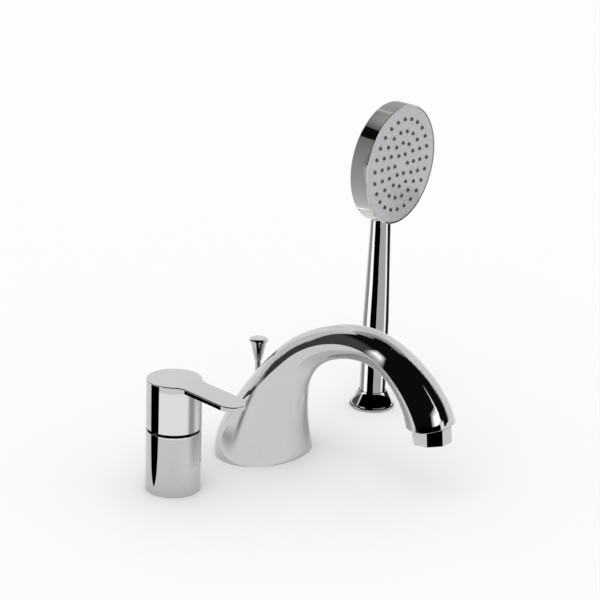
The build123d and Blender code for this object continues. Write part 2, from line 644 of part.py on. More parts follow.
def base_screws():
    """Two cap screws that hold the plate up in the casting."""
    head_top = SEAL_THICKNESS + BASE_SCREW_HEAD_HEIGHT
    screws = []
    for x in (-BASE_SCREW_X, BASE_SCREW_X):
        screw = disc(BASE_SCREW_HEAD_RADIUS, SEAL_THICKNESS, head_top, x)
        screw += disc(BASE_SCREW_RADIUS, head_top, BASE_SCREW_TOP, x)
        screws.append(screw - Pos(x, 0, SEAL_THICKNESS) * extrude(RegularPolygon(2.3, 6), 1.5))
    return Compound(screws)


def diverter_chamber():
    """Brass chamber: two ports in its floor, and a round port in its roof that the plunger shuts."""
    chamber = disc(CHAMBER_RADIUS, BASE_PLATE_TOP, CHAMBER_TOP, 0, DIVERTER_Y)
    chamber -= disc(CHAMBER_BORE_RADIUS, CHAMBER_FLOOR, CHAMBER_ROOF, 0, DIVERTER_Y)
    chamber -= disc(CHAMBER_PORT_RADIUS, CHAMBER_ROOF, CHAMBER_TOP, 0, DIVERTER_Y)
    for x in (-SPOUT_TUBE_X, SPOUT_TUBE_X):
        chamber -= disc(PORT_ORIFICE_RADIUS, BASE_PLATE_TOP, CHAMBER_FLOOR, x, SPOUT_TUBE_Y)
    return chamber


def diverter_gland():
    """Bush screwed up into the casting, with a groove for the rod's seal."""
    groove_top = GLAND_GROOVE_HEIGHT + GLAND_GROOVE_WIDTH
    gland = ring(GLAND_RADIUS, ROD_RADIUS + RUNNING_GAP, GLAND_BOTTOM, GLAND_TOP, 0, DIVERTER_Y)
    return gland - disc(GLAND_GROOVE_RADIUS, GLAND_GROOVE_HEIGHT, groove_top, 0, DIVERTER_Y)


def diverter_knob():
    """Round disc with a well rounded top edge, on a slim cone."""
    disc_bottom = KNOB_TOP - KNOB_DISC_THICKNESS
    button = disc(KNOB_DISC_RADIUS, disc_bottom, KNOB_TOP)
    rims = button.edges().filter_by(GeomType.CIRCLE).sort_by(Axis.Z)
    button = fillet(rims[-1], KNOB_TOP_ROUND)
    button = fillet(button.edges().sort_by(Axis.Z)[0], KNOB_UNDER_ROUND)
    cone_height = disc_bottom - KNOB_BOTTOM
    cone = Pos(0, 0, KNOB_BOTTOM) * Cone(KNOB_NECK_RADIUS, KNOB_CONE_RADIUS, cone_height, align=FOOT)
    return Pos(0, DIVERTER_Y, 0) * (button + cone - disc(ROD_RADIUS + THREAD_GAP, KNOB_BOTTOM, ROD_TOP))


def build_spout():
    """Middle unit."""
    plunger_top = PLUNGER_BOTTOM + PLUNGER_THICKNESS
    seal_top = plunger_top + PLUNGER_SEAL_THICKNESS
    rod_bore = ROD_RADIUS + THREAD_GAP
    groove_top = GLAND_GROOVE_HEIGHT + GLAND_GROOVE_WIDTH
    gland_seal_radius = GLAND_GROOVE_RADIUS - THREAD_GAP
    save("spout_body", spout_body())
    save("spout_base_seal", foot_plate(0, SEAL_THICKNESS, SHANK_RADIUS + SLIP_GAP))
    save("spout_base_plate", spout_base_plate())
    save("spout_base_screws", base_screws())
    save("aerator_housing", aerator_housing())
    save("aerator_insert", aerator_insert())
    save("aerator_seal", aerator_seal())
    save("diverter_chamber", diverter_chamber())
    save("diverter_gland", diverter_gland())
    gland_seal = ring(gland_seal_radius, rod_bore, GLAND_GROOVE_HEIGHT, groove_top, 0, DIVERTER_Y)
    save("diverter_gland_seal", gland_seal)
    save("diverter_knob", diverter_knob())
    save("diverter_rod", disc(ROD_RADIUS, PLUNGER_BOTTOM - 2, ROD_TOP, 0, DIVERTER_Y))
    save("diverter_plunger", ring(PLUNGER_RADIUS, rod_bore, PLUNGER_BOTTOM, plunger_top, 0, DIVERTER_Y))
    save("diverter_plunger_seal", ring(PLUNGER_RADIUS, rod_bore, plunger_top, seal_top, 0, DIVERTER_Y))
    save("spout_inlet_tube", port_tube(-SPOUT_TUBE_X, SPOUT_TUBE_Y, BASE_PLATE_TOP))
    save("shower_outlet_tube", port_tube(SPOUT_TUBE_X, SPOUT_TUBE_Y, BASE_PLATE_TOP))
    deck_fixings("spout", SPOUT_X)


def shower_socket():
    """Conical deck socket with a rounded flange."""
    bore = SHANK_BORE_RADIUS
    lip = HANDLE_TUBE_RADIUS + SOCKET_LIP_GAP
    edge = FLANGE_RADIUS - FLANGE_BULGE
    shank_recess = SHANK_RADIUS + THREAD_GAP
    lip_bottom = SOCKET_HEIGHT - SOCKET_LIP_THICKNESS
    flange_edge = ThreePointArc((edge, 0, 0), (FLANGE_RADIUS, 0, FLANGE_HEIGHT / 2), (edge, 0, FLANGE_HEIGHT))
    outline = [
        (edge, FLANGE_HEIGHT),
        (CONE_FOOT_RADIUS, FLANGE_HEIGHT),
        (CONE_TOP_RADIUS, SOCKET_HEIGHT - 0.6),
        (CONE_TOP_RADIUS - 0.4, SOCKET_HEIGHT),
        (lip, SOCKET_HEIGHT),
        (lip, lip_bottom),
        (bore, lip_bottom),
        (bore, BUSH_FLANGE_TOP + SLIP_GAP),
        (BUSH_FLANGE_RADIUS + SLIP_GAP, BUSH_FLANGE_TOP + SLIP_GAP),
        (BUSH_FLANGE_RADIUS + SLIP_GAP, SHANK_TOP),
        (shank_recess, SHANK_TOP),
        (shank_recess, SEAL_THICKNESS),
        (SOCKET_SEAL_RADIUS + SLIP_GAP, SEAL_THICKNESS),
        (SOCKET_SEAL_RADIUS + SLIP_GAP, 0),
        (edge, 0),
    ]
    rest = Polyline(*[(radius, 0, height) for radius, height in outline])
    return Pos(SHOWER_X, 0, 0) * revolve(make_face([flange_edge, rest]), Axis.Z)


def guide_bush():
    """Plastic liner: its tapered bore takes the tapered foot of the handle."""
    top = SOCKET_HEIGHT - SOCKET_LIP_THICKNESS - SLIP_GAP
    outside = SHANK_BORE_RADIUS - RUNNING_GAP
    wide = HANDLE_TUBE_RADIUS + SEAT_GAP
    narrow = HANDLE_SEAT_END_RADIUS + SEAT_GAP
    bush = turned([
        (narrow, BUSH_BOTTOM),
        (outside, BUSH_BOTTOM),
        (outside, SHANK_TOP + SLIP_GAP),
        (BUSH_FLANGE_RADIUS, SHANK_TOP + SLIP_GAP),
        (BUSH_FLANGE_RADIUS, BUSH_FLANGE_TOP),
        (outside, BUSH_FLANGE_TOP),
        (outside, top),
        (wide, top),
        (wide, HANDLE_SEAT_TOP),
        (narrow, HANDLE_SEAT_BOTTOM),
    ])
    return Pos(SHOWER_X, 0, 0) * bush


def shower_handle():
    """Long tube, straight below, tapered towards the head and at its foot."""
    handle = turned([
        (HANDLE_TUBE_BORE_RADIUS, HANDLE_SEAT_BOTTOM),
        (HANDLE_SEAT_END_RADIUS, HANDLE_SEAT_BOTTOM),
        (HANDLE_TUBE_RADIUS, HANDLE_SEAT_TOP),
        (HANDLE_TUBE_RADIUS, HANDLE_TAPER_START),
        (HANDLE_TUBE_NECK_RADIUS, HANDLE_TUBE_TOP),
        (HANDLE_TUBE_BORE_RADIUS, HANDLE_TUBE_TOP),
    ])
    return handle - disc(HANDLE_SOCKET_RADIUS, HANDLE_SEAT_BOTTOM, HANDLE_SEAT_BOTTOM + HANDLE_SOCKET_DEPTH)


def hose_thread():
    """Threaded end piece that the hose screws on to."""
    spigot_top = HANDLE_SEAT_BOTTOM + HANDLE_SOCKET_DEPTH - SLIP_GAP
    washer_top = HOSE_THREAD_BOTTOM + FILTER_WASHER_THICKNESS
    end = disc(HOSE_THREAD_RADIUS, HOSE_THREAD_BOTTOM, HANDLE_SEAT_BOTTOM)
    end += disc(HANDLE_SOCKET_RADIUS - THREAD_GAP, HANDLE_SEAT_BOTTOM, spigot_top)
    end -= disc(HOSE_THREAD_BORE_RADIUS, HOSE_THREAD_BOTTOM, spigot_top)
    return end - disc(FILTER_WASHER_RADIUS + THREAD_GAP, HOSE_THREAD_BOTTOM, washer_top)


def head_place():
    """Place of the head's centre: local -Y looks out of the spray face."""
    return Pos(0, -HEAD_FORWARD, HEAD_CENTRE_HEIGHT) * Rot(HEAD_PITCH, 0, 0)


def drum(radius, front, back):
    """Disc about the head's axis, between two depths behind the face plane."""
    depth = back - front
    return Pos(0, front - HEAD_THICKNESS / 2, 0) * Rot(-90, 0, 0) * Cylinder(radius, depth, align=FOOT)


def domed_drum(radius, depth, dome, edge_round):
    """Drum whose back rises in a shallow dome from a rounded edge."""
    front = -HEAD_THICKNESS / 2
    shoulder = front + depth - edge_round
    rounded_edge = RadiusArc((radius, shoulder), (radius - edge_round, front + depth), -edge_round)
    back_point = (0, front + depth + dome)
    start_slope = (-1, 0.05)
    dome_line = Spline((radius - edge_round, front + depth), back_point, tangents=[start_slope, (-1, 0)])
    outline = [
        Line((0, front), (radius, front)),
        Line((radius, front), (radius, shoulder)),
        rounded_edge,
        dome_line,
        Line(back_point, (0, front)),
    ]
    return revolve(make_face(outline), Axis.Y)


def head_shell():
    """Chrome drum with a domed back and the neck that the handle screws into."""
    outside = domed_drum(HEAD_RADIUS, HEAD_THICKNESS, HEAD_DOME, HEAD_EDGE_ROUND)
    outside = head_place() * fillet(outside.edges().sort_by(Axis.Y)[0], HEAD_RIM_ROUND)
    neck = Pos(0, 0, HANDLE_TUBE_TOP) * Cone(
        HANDLE_TUBE_NECK_RADIUS, HEAD_NECK_TOP_RADIUS, HEAD_NECK_TOP - HANDLE_TUBE_TOP, align=FOOT)
    neck += Pos(0, 0, HEAD_NECK_TOP) * Sphere(HEAD_NECK_TOP_RADIUS)
    inner_depth = HEAD_THICKNESS - HEAD_WALL
    inside = head_place() * domed_drum(HEAD_RADIUS - HEAD_WALL, inner_depth, HEAD_DOME, HEAD_EDGE_ROUND)
    face_seat = head_place() * drum(FACE_RADIUS + FACE_RIM_GAP, 0, FACE_RECESS + FACE_THICKNESS)
    waterway = disc(HEAD_NECK_BORE_RADIUS, HANDLE_TUBE_TOP, HEAD_NECK_TOP)
    return outside + neck - inside - face_seat - waterway


def nozzle_places():
    """Places of the nozzles in the face, ring by ring."""
    return [place for count, radius in NOZZLE_RINGS for place in around(count, radius)]


def at_nozzle(place, shape):
    """Put a shape whose +Z is the head's backward axis at one nozzle."""
    x, z = place
    return Pos(x, -HEAD_THICKNESS / 2, z) * Rot(-90, 0, 0) * shape


def spray_face():
    """Grey face plate, with a hole for each nozzle."""
    back = FACE_RECESS + FACE_THICKNESS
    hole = Cylinder(NOZZLE_RADIUS + NOZZLE_HOLE_GAP, 4 * back)
    holes = [at_nozzle(place, hole) for place in nozzle_places()]
    return head_place() * (drum(FACE_RADIUS, FACE_RECESS, back) - holes)


def nozzle_mat():
    """Rubber mat behind the face, with the nozzles moulded on it."""
    front = FACE_RECESS + FACE_THICKNESS
    length = front + NOZZLE_PROUD - FACE_RECESS
    tip = FACE_RECESS - NOZZLE_PROUD
    nozzle = Pos(0, 0, tip) * Cone(NOZZLE_TIP_RADIUS, NOZZLE_RADIUS, length, align=FOOT)
    bore = Cylinder(NOZZLE_BORE_RADIUS, 4 * front)
    nozzles = [at_nozzle(place, nozzle) for place in nozzle_places()]
    bores = [at_nozzle(place, bore) for place in nozzle_places()]
    return head_place() * (drum(MAT_RADIUS, front, front + MAT_THICKNESS) + nozzles - bores)


def spray_chamber():
    """Plastic cup behind the mat that spreads the water to the nozzles."""
    front = FACE_RECESS + FACE_THICKNESS + MAT_THICKNESS
    back = front + CHAMBER_CUP_DEPTH
    cup = drum(CHAMBER_CUP_RADIUS, front, back)
    cup -= drum(MAT_RADIUS - 1, front, back - CHAMBER_CUP_WALL)
    inlet = Pos(0, 0, -CHAMBER_INLET_DROP) * drum(CHAMBER_INLET_RADIUS, front, back)
    return head_place() * (cup - inlet)


def build_shower():
    """Right unit: the socket stays on the deck, the hand shower stands in it."""
    upright = Pos(SHOWER_X, 0, 0)
    turned_place = upright * Rot(0, 0, SHOWER_YAW)
    face_back = FACE_RECESS + FACE_THICKNESS
    chamber_seal = drum(CHAMBER_SEAL_RADIUS, face_back, face_back + MAT_THICKNESS)
    chamber_seal -= drum(MAT_RADIUS + SLIP_GAP, face_back, face_back + MAT_THICKNESS)
    washer_top = HOSE_THREAD_BOTTOM + FILTER_WASHER_THICKNESS
    filter_washer = ring(FILTER_WASHER_RADIUS, HOSE_THREAD_BORE_RADIUS, HOSE_THREAD_BOTTOM, washer_top)
    base_seal = ring(SOCKET_SEAL_RADIUS, SHANK_RADIUS + SLIP_GAP, 0, SEAL_THICKNESS)
    save("shower_socket", shower_socket())
    save("shower_guide_bush", guide_bush())
    save("shower_base_seal", upright * base_seal)
    save("shower_handle", upright * shower_handle())
    save("hose_thread", upright * hose_thread())
    save("filter_washer", upright * filter_washer)
    save("head_shell", turned_place * head_shell())
    save("spray_face", turned_place * spray_face())
    save("spray_nozzle_mat", turned_place * nozzle_mat())
    save("spray_chamber_seal", turned_place * head_place() * chamber_seal)
    save("spray_chamber", turned_place * spray_chamber())
    deck_fixings("shower", SHOWER_X)


os.makedirs("parts", exist_ok=True)
build_valve()
build_spout()
build_shower()
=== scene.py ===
import json
from collections import namedtuple
from math import asin, cos, degrees, pi, radians, sin, tan

import bpy
from mathutils import Matrix, Vector

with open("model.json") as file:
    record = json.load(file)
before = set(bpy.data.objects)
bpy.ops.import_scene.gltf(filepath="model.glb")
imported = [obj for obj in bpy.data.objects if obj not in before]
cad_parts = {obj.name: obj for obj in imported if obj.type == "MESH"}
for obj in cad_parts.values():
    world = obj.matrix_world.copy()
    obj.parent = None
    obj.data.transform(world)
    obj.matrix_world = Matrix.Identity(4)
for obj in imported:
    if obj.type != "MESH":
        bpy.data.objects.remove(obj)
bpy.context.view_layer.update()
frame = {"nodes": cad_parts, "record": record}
NODES = frame["nodes"]

# Places along the row and across it, in metres, from the part
VALVE_X = -0.118
SHOWER_X = 0.1515
OUTLET = (0.0, -0.1746)
DIVERTER = (0.0, 0.012)

# Camera, recovered from the photograph's perspective
CAMERA_AZIMUTH = -50.74
CAMERA_ELEVATION = 17.67
CAMERA_ROLL = 2.12
CAMERA_DISTANCE = 1.83607
CAMERA_TARGET = Vector((0.2054, 0.13536, 0.060))
CAMERA_LENS = 110.8
CAMERA_NEAR = 0.05
CAMERA_FAR = 50.0
SENSOR_WIDTH = 36.0

# Level of the light: the world and the sun together light a level surface at about 1
WORLD_STRENGTH = 0.85
SUN_SHARE = 0.15
SUN_DIRECTION = Vector((-0.75, -0.35, 1.0)).normalized()
SUN_SPREAD = 50.0

# Finish of each material slot: its colour and roughness run between two values, in blotches of a
# given scale. A grain, where it has one, is a fine bump with a strength and a scale. Polished chrome
# reflects a little over half of the light.
METAL = 1.0
SLIGHTLY_METALLIC = 0.1
MOULDED = 0.0
Finish = namedtuple("Finish", "metallic low high rough scale bump bump_scale", defaults=(0.0, 0.0))
FINISHES = {
    "chrome": Finish(METAL, (0.550, 0.557, 0.548), (0.570, 0.577, 0.568), (0.01, 0.025), 25.0),
    "brass": Finish(METAL, (0.62, 0.44, 0.18), (0.74, 0.56, 0.27), (0.22, 0.38), 60.0, 0.15, 900.0),
    # Near-black brass: painted shade for the groove round the hidden valve body, whose own metal is plain
    # brass
    "blackened_brass": Finish(
        METAL, (0.020, 0.019, 0.018), (0.045, 0.042, 0.040), (0.30, 0.45), 80.0, 0.1, 900.0),
    "copper_tube": Finish(METAL, (0.62, 0.30, 0.17), (0.78, 0.42, 0.27), (0.20, 0.40), 70.0),
    "steel": Finish(METAL, (0.50, 0.50, 0.51), (0.62, 0.62, 0.63), (0.25, 0.40), 90.0, 0.1, 1200.0),
    "black_rubber": Finish(
        MOULDED, (0.02, 0.02, 0.02), (0.05, 0.05, 0.05), (0.6, 0.8), 200.0, 0.3, 1500.0),
    "nozzle_rubber": Finish(
        MOULDED, (0.05, 0.055, 0.06), (0.10, 0.105, 0.11), (0.45, 0.65), 300.0, 0.2, 2500.0),
    "white_plastic": Finish(
        MOULDED, (0.70, 0.70, 0.68), (0.80, 0.80, 0.78), (0.35, 0.5), 80.0, 0.1, 1500.0),
    "ceramic": Finish(MOULDED, (0.80, 0.78, 0.74), (0.88, 0.87, 0.84), (0.12, 0.2), 120.0),
    "grey_face": Finish(
        SLIGHTLY_METALLIC, (0.42, 0.43, 0.445), (0.52, 0.53, 0.545), (0.35, 0.5), 500.0, 0.25, 2200.0),
}

# Hidden brass body given near-black brass, painted shade, so that it doesn't show as gold in the dark groove
# between the sleeve and the handle
PAINTED_SHADE_NODES = {"valve_body": "blackened_brass"}

# Noise behind the finishes: the part of its range that is used, its detail, and the gloss's own scale
NOISE_RANGE = (0.3, 0.7)
COLOUR_DETAIL = 3.0
GLOSS_DETAIL = 4.0
GRAIN_DETAIL = 2.0
GLOSS_SCALE = 2.7
GRAIN_DEPTH = 0.0002

# Floor
FLOOR_SIZE = 30.0
FLOOR_WHITE = (0.98, 0.98, 0.98)
FLOOR_ROUGHNESS = 0.9

# Cards: reflectors and black flags that only reflections see. A strength is how bright a card is, or
# a pair for its bottom and its top. A feather is the share of the card over which each edge fades.
# A card with a reach is seen only by rays shorter than that. Angles are in degrees.
BLACK = 0.0
SHARP = 0.001
CARD_COLUMNS = 24
Feather = namedtuple("Feather", "start end bottom top", defaults=(SHARP,) * 4)

# Round studio wall and the black cloth outside it
ROOM_CENTRE = (0.02, -0.05)
ROOM_RADIUS = 6.0
ROOM_EYE_HEIGHT = 0.1
DOME_RADIUS = 2 * ROOM_RADIUS
DOME_STEP = 6
DARK_ROOM = 0.006

# Cards on the wall, placed by where they are seen from the object, in degrees. A card that lies over
# or behind others has its own distance, as a share of the wall's radius, so that no surface is shared.
RoomCard = namedtuple(
    "RoomCard", "name azimuths elevations strength feather top_azimuths distance", defaults=(None, 1.0))
SWEEP_CARDS = (
    RoomCard("sweep", (-36.0, 92.0), (-1.0, 53.0), 1.0, Feather(start=0.07, top=0.04), (-20.0, 92.0)),
    RoomCard("sweep_line", (88.0, 92.0), (5.0, 40.0), 0.55, Feather(0.3, 0.3, 0.2, 0.3), distance=0.97),
    RoomCard("sweep_corner", (91.9, 93.5), (6.0, 14.0), 0.85, Feather(end=0.2), (91.9, 106.5)),
    RoomCard("sweep_end", (91.9, 108.0), (14.0, 53.0), 0.85, Feather(end=0.15, top=0.04), (91.9, 112.0)),
)
SIDE_CARDS = (
    RoomCard(
        "left_wall", (91.0, 160.0), (-1.0, 42.0), (0.05, 0.09), Feather(0.01, 0.1, top=0.2), distance=1.05),
    RoomCard("left_box", (148.0, 161.0), (23.0, 45.0), 1.7, Feather(0.3, 0.3, 0.35, 0.45), (156.0, 169.0)),
    RoomCard("right_box", (267.0, 305.0), (5.0, 29.0), 1.75, Feather(0.45, 0.05, 0.2, 0.4), (265.0, 303.0)),
    RoomCard("right_box_foot", (296.0, 312.0), (-1.0, 8.0), 1.2, Feather(0.4, 0.2, top=0.2)),
    RoomCard("right_strip", (295.5, 301.5), (20.0, 50.0), (1.7, 0.3), Feather(0.3, 0.3, 0.05, 0.1)),
    RoomCard("horizon", (150.0, 240.0), (-1.0, 3.4), 1.7, Feather(0.02, 0.1, top=0.2)),
    RoomCard("front_foot", (235.0, 300.0), (-1.0, 2.4), 1.0, Feather(0.05, 0.1, top=0.2)),
)
CEILING_RADIUS = 2.0
CEILING_AZIMUTHS = (-22.0, 108.0)
CEILING_HEIGHTS = (2.45, 6.0)
CEILING_STRENGTH = (0.62, 0.2)
CEILING_FEATHER = Feather(0.12, 0.12, 0.05, 0.1)

# Upright cylinder of the object, and the radius of the cards round it. These cards are placed for the
# view that place_camera gives, and stay there in every other view.
Cylinder = namedtuple("Cylinder", "x radius card_radius")

# Stripes in the shower's tube: where its reflection turns to, low and high on it, and their strength
TUBE = Cylinder(SHOWER_X, 0.0121, 0.040)
TUBE_STRIPES = (
    ("left_grey", (88.0, 127.0), (76.0, 115.0), 0.42),
    ("left_line", (126.0, 132.0), (114.0, 120.0), 0.20),
    ("left_box", (132.0, 166.0), (120.0, 148.0), 1.7),
    ("front_flag", (166.0, 224.0), (148.0, 214.0), BLACK),
    ("right_grey", (224.0, 296.0), (214.0, 281.0), 0.62),
    ("right_box", (296.0, 316.0), (281.0, 300.0), 1.5),
    ("right_flag", (316.0, 368.0), (300.0, 366.0), 0.02),
)
TUBE_CARD_HEIGHTS = (0.0005, 0.115, 0.205)
TUBE_FEATHER = Feather(0.04, 0.04)
TUBE_CARD_REACH = 0.060

# Black card close in front of the diverter's knob
KNOB_CARD_RADIUS = 0.018
KNOB_CARD_AZIMUTHS = (190.0, 228.0)
KNOB_CARD_HEIGHTS = (0.045, 0.105)
KNOB_FEATHER = Feather(0.1, 0.1)
KNOB_CARD_REACH = 0.024

# Cards close round the shower's cone: azimuths and strength
SOCKET_CARDS = (
    ("light", (90.0, 108.0), 1.0),
    ("dim", (108.0, 156.0), 0.1),
    ("flag", (156.0, 329.0), BLACK),
    ("bright", (329.0, 345.0), 1.2),
)
SOCKET_CARD_RADIUS = 0.0245
SOCKET_CARD_HEIGHTS = (0.003, 0.021)
SOCKET_FEATHER = Feather(0.05, 0.05)
SOCKET_CARD_REACH = 0.0122

# Black card close in front of the aerator
OUTLET_CARD_RADIUS = 0.030
OUTLET_CARD_AZIMUTHS = (192.0, 275.0)
OUTLET_CARD_HEIGHTS = (0.035, 0.080)
OUTLET_FEATHER = Feather(0.03, 0.03)
OUTLET_CARD_REACH = 0.035

# Black wedge on the floor behind the valve
CARD_LIFT = 0.0005
WEDGE_APEX = (-0.1525, 0.010)
WEDGE_AZIMUTHS = (162.0, 113.0)
WEDGE_LENGTH = 0.29

# Cards round the valve: where its reflection turns to, heights, strength, feather and reach
VALVE = Cylinder(VALVE_X, 0.023, 0.044)
VALVE_CARDS = (
    ("light", (158.0, 288.0), (0.0425, 0.083), 1.26, Feather(0.02, 0.1, top=0.02), 0.0255),
    ("shade", (281.0, 326.0), (0.0425, 0.083), 0.46, Feather(0.3, 0.4, top=0.02), 0.028),
    ("low_shade", (284.0, 372.0), (0.008, 0.0415), (0.85, 0.52), Feather(0.3, 0.2, 0.3), 0.048),
)

# Upright cards across the row that the spout mirrors, one in front of another: place along the row,
# Y of the start and of the end, heights, strength and feather
SCREEN_X = -0.070
SCREENS = (
    ("screen_white", SCREEN_X, (0.90, -0.08), (-0.001, 0.10), 1.0, Feather()),
    ("screen_patch", SCREEN_X + 0.001, (0.16, 0.002), (0.004, 0.036), 0.55, Feather(0.1, 0.1, 0.5, 0.4)),
    ("screen_line", SCREEN_X + 0.002, (0.015, -0.003), (0.012, 0.075), 0.25, Feather(0.5, 0.5, 0.4, 0.2)),
)
SHOWER_SCREEN = ("shower_screen", 0.085, (-0.085, 0.01), (0.02, 0.245), 0.9, Feather(0.1, 0.1, 0.05, 0.05))

# Cards on the floor by the spout: X from left to right, Y from back to front, height, strength, feather
FLOOR_CARDS = (
    ("spout_floor", (-0.20, 0.075), (-0.035, -0.45), CARD_LIFT, 1.0, Feather(0.35, 0.1, 0.12, 0.1)),
    ("spout_shade", (0.025, 0.18), (0.03, -0.057), 2 * CARD_LIFT, 0.48, Feather(0.3, 0.2, 0.2, 0.3)),
)

# Cards round the shower's head: azimuths, heights, strength and feather
HEAD_CARD_CENTRE = (SHOWER_X, -0.010)
HEAD_CARD_RADIUS = 0.090
HEAD_CARD_REACH = 0.20
HEAD_CARDS = (
    ("side", (112.0, 178.0), (0.06, 0.315), (0.86, 0.22), Feather(0.1, 0.1, 0.1, 0.02)),
    ("back", (18.0, 74.0), (0.235, 0.42), 0.48, Feather(0.1, 0.3, 0.1, 0.1)),
    ("top", (66.0, 156.0), (0.368, 0.52), (0.15, 0.75), Feather(0.1, 0.1, 0.02)),
)

bpy.context.scene.view_settings.view_transform = "Standard"


def place_camera():
    """Camera at the photograph's angle, with its slight roll."""
    azimuth = radians(CAMERA_AZIMUTH)
    elevation = radians(CAMERA_ELEVATION)
    roll = radians(CAMERA_ROLL)
    back = Vector((sin(azimuth) * cos(elevation), -cos(azimuth) * cos(elevation), sin(elevation)))
    right = Vector((cos(azimuth), sin(azimuth), 0.0))
    up = back.cross(right)
    axis_x = right * cos(roll) + up * sin(roll)
    axis_y = up * cos(roll) - right * sin(roll)
    location = CAMERA_TARGET + back * CAMERA_DISTANCE
    data = bpy.data.cameras.new("camera")
    data.lens = CAMERA_LENS
    data.sensor_width = SENSOR_WIDTH
    data.clip_start = CAMERA_NEAR
    data.clip_end = CAMERA_FAR
    camera = bpy.data.objects.new("camera", data)
    bpy.context.scene.collection.objects.link(camera)
    rotation = Matrix((axis_x, axis_y, back)).transposed()
    camera.matrix_world = Matrix.Translation(location) @ rotation.to_4x4()
    bpy.context.scene.camera = camera


def new_material(name):
    """Empty node material with an output and a Principled shader."""
    material = bpy.data.materials.new(name)
    material.use_nodes = True
    tree = material.node_tree
    tree.nodes.clear()
    output = tree.nodes.new("ShaderNodeOutputMaterial")
    shader = tree.nodes.new("ShaderNodeBsdfPrincipled")
    tree.links.new(shader.outputs["BSDF"], output.inputs["Surface"])
    return material, tree, shader


def noise_node(tree, scale, detail):
    """Noise on object coordinates."""
    coords = tree.nodes.new("ShaderNodeTexCoord")
    noise = tree.nodes.new("ShaderNodeTexNoise")
    noise.inputs["Scale"].default_value = scale
    noise.inputs["Detail"].default_value = detail
    tree.links.new(coords.outputs["Object"], noise.inputs["Vector"])
    return noise


def ramp_node(tree, source, low, high):
    """Colour ramp between two colours over the noise's range."""
    ramp = tree.nodes.new("ShaderNodeValToRGB")
    for element, position, colour in zip(ramp.color_ramp.elements, NOISE_RANGE, (low, high)):
        element.position = position
        element.color = (*colour, 1.0)
    tree.links.new(source, ramp.inputs["Fac"])
    return ramp


def range_node(tree, source, low, high, start, end):
    """Map a value from start and end to low and high, and hold it there."""
    mapped = tree.nodes.new("ShaderNodeMapRange")
    mapped.inputs["From Min"].default_value = start
    mapped.inputs["From Max"].default_value = end
    mapped.inputs["To Min"].default_value = low
    mapped.inputs["To Max"].default_value = high
    tree.links.new(source, mapped.inputs["Value"])
    return mapped


def finish_material(name, finish):
    """Procedural finish: blotchy colour, uneven gloss and, where asked, a fine bump."""
    material, tree, shader = new_material(name)
    colour_noise = noise_node(tree, finish.scale, COLOUR_DETAIL)
    ramp = ramp_node(tree, colour_noise.outputs["Fac"], finish.low, finish.high)
    tree.links.new(ramp.outputs["Color"], shader.inputs["Base Color"])
    gloss_noise = noise_node(tree, finish.scale * GLOSS_SCALE, GLOSS_DETAIL)
    mapped = range_node(tree, gloss_noise.outputs["Fac"], *finish.rough, *NOISE_RANGE)
    tree.links.new(mapped.outputs["Result"], shader.inputs["Roughness"])
    shader.inputs["Metallic"].default_value = finish.metallic
    if finish.bump:
        grain = noise_node(tree, finish.bump_scale, GRAIN_DETAIL)
        node = tree.nodes.new("ShaderNodeBump")
        node.inputs["Strength"].default_value = finish.bump
        node.inputs["Distance"].default_value = GRAIN_DEPTH
        tree.links.new(grain.outputs["Fac"], node.inputs["Height"])
        tree.links.new(node.outputs["Normal"], shader.inputs["Normal"])
    return material


def dress_nodes():
    """Give every CAD node the finish of its material slot, but the valve body near-black brass as painted
    shade for the groove.
    """
    materials = {name: finish_material(name, finish) for name, finish in FINISHES.items()}
    for part in frame["record"]["subparts"]:
        slot = PAINTED_SHADE_NODES.get(part["node"], part["material_slot"])
        node = NODES[part["node"]]
        node.data.materials.clear()
        node.data.materials.append(materials[slot])


def build_floor():
    """Plain white floor at the deck's level, which takes the object's shadow."""
    bpy.ops.mesh.primitive_plane_add(size=FLOOR_SIZE)
    floor = bpy.context.object
    floor.name = "floor"
    material, _, shader = new_material("floor")
    shader.inputs["Base Color"].default_value = (*FLOOR_WHITE, 1.0)
    shader.inputs["Roughness"].default_value = FLOOR_ROUGHNESS
    shader.inputs["Specular IOR Level"].default_value = 0.0
    floor.data.materials.append(material)


def build_world():
    """White surround, seen at full strength by the camera and in reflections."""
    world = bpy.data.worlds.new("studio")
    bpy.context.scene.world = world
    world.use_nodes = True
    tree = world.node_tree
    tree.nodes.clear()
    output = tree.nodes.new("ShaderNodeOutputWorld")
    rays = tree.nodes.new("ShaderNodeLightPath")
    lighting = tree.nodes.new("ShaderNodeBackground")
    seen = tree.nodes.new("ShaderNodeBackground")
    lighting.inputs["Strength"].default_value = WORLD_STRENGTH
    seen.inputs["Strength"].default_value = 1.0
    for background in (lighting, seen):
        background.inputs["Color"].default_value = (1.0, 1.0, 1.0, 1.0)
    share = rays.outputs["Is Camera Ray"]
    for ray in ("Is Glossy Ray", "Is Transmission Ray"):
        either = tree.nodes.new("ShaderNodeMath")
        either.operation = "MAXIMUM"
        tree.links.new(share, either.inputs[0])
        tree.links.new(rays.outputs[ray], either.inputs[1])
        share = either.outputs["Value"]
    mixed = tree.nodes.new("ShaderNodeMixShader")
    tree.links.new(share, mixed.inputs["Fac"])
    tree.links.new(lighting.outputs["Background"], mixed.inputs[1])
    tree.links.new(seen.outputs["Background"], mixed.inputs[2])
    tree.links.new(mixed.outputs["Shader"], output.inputs["Surface"])


def product_node(tree, first, second):
    """Product of two values."""
    product = tree.nodes.new("ShaderNodeMath")
    product.operation = "MULTIPLY"
    tree.links.new(first, product.inputs[0])
    tree.links.new(second, product.inputs[1])
    return product.outputs["Value"]


